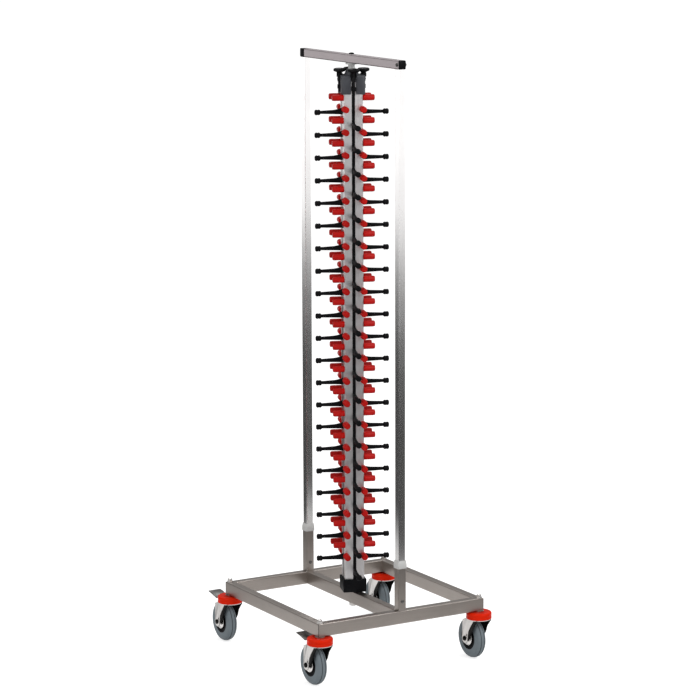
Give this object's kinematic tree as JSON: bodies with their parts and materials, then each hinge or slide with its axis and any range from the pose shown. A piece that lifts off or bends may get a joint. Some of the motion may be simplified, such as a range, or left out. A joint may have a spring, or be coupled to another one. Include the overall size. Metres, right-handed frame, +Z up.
{
  "type": "plate rack trolley",
  "caption": "Mobile plate rack: a turning column with knob-set arms and red rubber pegs, in a stainless steel frame on casters.",
  "frame": {"origin": "centre of the bounding box's bottom, on the floor between the wheels", "axes": "+Z up along the posts and the column, +X to the trolley's right side, +Y to its back, the way the casters trail; the column stands turned about Z"},
  "size_m": [0.638, 0.704, 1.848],
  "materials": {
    "frame_steel": "warm grey brushed stainless steel tube",
    "post_steel": "bright stainless steel tube",
    "bolt_steel": "turned and pressed steel",
    "column_aluminium": "satin anodised profile",
    "black_plastic": "black moulded plastic, matt",
    "grey_plastic": "slate grey moulded plastic",
    "white_plastic": "light grey moulded plastic",
    "core_steel": "dark coated inner tube",
    "red_rubber": "red rubber, satin",
    "cover_plastic": "orange-red plastic, glossy",
    "fork_steel": "zinc-plated pressed steel",
    "hub_plastic": "black wheel centre",
    "tyre_rubber": "blue-grey non-marking rubber"
  },
  "bodies": {
    "frame": {"front_rail": "frame_steel", "right_rail": "frame_steel", "back_rail": "frame_steel", "left_rail": "frame_steel", "cross_member": "frame_steel", "front_post": "post_steel", "back_post": "post_steel", "post_sockets": "frame_steel", "post_collars": "white_plastic", "top_bar": "frame_steel", "bar_ends": "black_plastic", "frame_bolts": "bolt_steel", "caster_stems": "bolt_steel", "caster_nuts": "bolt_steel", "top_pivot_pin": "black_plastic", "top_bush": "white_plastic", "bottom_pivot": "bolt_steel"},
    "column": {"column_core": "core_steel", "corner_profiles": "column_aluminium", "column_cap": "grey_plastic", "foot_block": "black_plastic", "right_pegs": "red_rubber", "back_pegs": "red_rubber", "left_pegs": "red_rubber", "front_pegs": "red_rubber"},
    "right_rail_of_arms": {"right_strip": "black_plastic", "right_arms": "black_plastic"},
    "right_knob_body": {"right_knob": "black_plastic"},
    "back_rail_of_arms": {"back_strip": "black_plastic", "back_arms": "black_plastic"},
    "back_knob_body": {"back_knob": "black_plastic"},
    "left_rail_of_arms": {"left_strip": "black_plastic", "left_arms": "black_plastic"},
    "left_knob_body": {"left_knob": "black_plastic"},
    "front_rail_of_arms": {"front_strip": "black_plastic", "front_arms": "black_plastic"},
    "front_knob_body": {"front_knob": "black_plastic"},
    "front_left_swivel": {"front_left_fork": "fork_steel", "front_left_cover": "cover_plastic", "front_left_axle": "bolt_steel"},
    "front_left_wheel": {"front_left_hub": "hub_plastic", "front_left_tyre": "tyre_rubber"},
    "front_left_brake": {"front_left_pedal": "fork_steel"},
    "front_right_swivel": {"front_right_fork": "fork_steel", "front_right_cover": "cover_plastic", "front_right_axle": "bolt_steel"},
    "front_right_wheel": {"front_right_hub": "hub_plastic", "front_right_tyre": "tyre_rubber"},
    "back_right_swivel": {"back_right_fork": "fork_steel", "back_right_cover": "cover_plastic", "back_right_axle": "bolt_steel"},
    "back_right_wheel": {"back_right_hub": "hub_plastic", "back_right_tyre": "tyre_rubber"},
    "back_left_swivel": {"back_left_fork": "fork_steel", "back_left_cover": "cover_plastic", "back_left_axle": "bolt_steel"},
    "back_left_wheel": {"back_left_hub": "hub_plastic", "back_left_tyre": "tyre_rubber"},
    "back_left_brake": {"back_left_pedal": "fork_steel"}
  },
  "joints": [
    {"name": "column_turn", "type": "hinge", "parent": "frame", "child": "column", "pos_m": [0, -0.033, 0.197], "axis": [0, 0, 1], "continuous": true},
    {"name": "right_knob_turn", "type": "hinge", "parent": "column", "child": "right_knob_body", "pos_m": [0.03421, -0.04572, 1.78705], "axis": [0, 0, 1], "range_deg": [-721, 721]},
    {"name": "right_arms_lift", "type": "slide", "parent": "column", "child": "right_rail_of_arms", "axis": [0, 0, 1], "range_m": [-0.008, 0.008]},
    {"name": "back_knob_turn", "type": "hinge", "parent": "column", "child": "back_knob_body", "pos_m": [0.01272, 0.00121, 1.78705], "axis": [0, 0, 1], "range_deg": [-721, 721]},
    {"name": "back_arms_lift", "type": "slide", "parent": "column", "child": "back_rail_of_arms", "axis": [0, 0, 1], "range_m": [-0.008, 0.008]},
    {"name": "left_knob_turn", "type": "hinge", "parent": "column", "child": "left_knob_body", "pos_m": [-0.03421, -0.02028, 1.78705], "axis": [0, 0, 1], "range_deg": [-721, 721]},
    {"name": "left_arms_lift", "type": "slide", "parent": "column", "child": "left_rail_of_arms", "axis": [0, 0, 1], "range_m": [-0.008, 0.008]},
    {"name": "front_knob_turn", "type": "hinge", "parent": "column", "child": "front_knob_body", "pos_m": [-0.01272, -0.06721, 1.78705], "axis": [0, 0, 1], "range_deg": [-181, 1261]},
    {"name": "front_arms_lift", "type": "slide", "parent": "column", "child": "front_rail_of_arms", "axis": [0, 0, 1], "range_m": [-0.002, 0.014]},
    {"name": "front_left_swivel_turn", "type": "hinge", "parent": "frame", "child": "front_left_swivel", "pos_m": [-0.28, -0.313, 0.1325], "axis": [0, 0, 1], "continuous": true},
    {"name": "front_left_wheel_turn", "type": "hinge", "parent": "front_left_swivel", "child": "front_left_wheel", "pos_m": [-0.28, -0.275, 0.0625], "axis": [1, 0, 0], "continuous": true},
    {"name": "front_left_brake_press", "type": "hinge", "parent": "front_left_swivel", "child": "front_left_brake", "pos_m": [-0.28, -0.268, 0.13], "axis": [-1, 0, 0], "range_deg": [0, 15]},
    {"name": "front_right_swivel_turn", "type": "hinge", "parent": "frame", "child": "front_right_swivel", "pos_m": [0.28, -0.313, 0.1325], "axis": [0, 0, 1], "continuous": true},
    {"name": "front_right_wheel_turn", "type": "hinge", "parent": "front_right_swivel", "child": "front_right_wheel", "pos_m": [0.28, -0.275, 0.0625], "axis": [1, 0, 0], "continuous": true},
    {"name": "back_right_swivel_turn", "type": "hinge", "parent": "frame", "child": "back_right_swivel", "pos_m": [0.28, 0.247, 0.1325], "axis": [0, 0, 1], "continuous": true},
    {"name": "back_right_wheel_turn", "type": "hinge", "parent": "back_right_swivel", "child": "back_right_wheel", "pos_m": [0.28, 0.285, 0.0625], "axis": [1, 0, 0], "continuous": true},
    {"name": "back_left_swivel_turn", "type": "hinge", "parent": "frame", "child": "back_left_swivel", "pos_m": [-0.28, 0.247, 0.1325], "axis": [0, 0, 1], "continuous": true},
    {"name": "back_left_wheel_turn", "type": "hinge", "parent": "back_left_swivel", "child": "back_left_wheel", "pos_m": [-0.28, 0.285, 0.0625], "axis": [1, 0, 0], "continuous": true},
    {"name": "back_left_brake_press", "type": "hinge", "parent": "back_left_swivel", "child": "back_left_brake", "pos_m": [-0.28, 0.292, 0.13], "axis": [-1, 0, 0], "range_deg": [0, 15]}
  ],
  "couplings": [
    {"joint": "right_knob_turn", "follows": "right_arms_lift", "rad_per_m": 1570.8},
    {"joint": "back_knob_turn", "follows": "back_arms_lift", "rad_per_m": 1570.8},
    {"joint": "left_knob_turn", "follows": "left_arms_lift", "rad_per_m": 1570.8},
    {"joint": "front_knob_turn", "follows": "front_arms_lift", "rad_per_m": 1570.8}
  ]
}
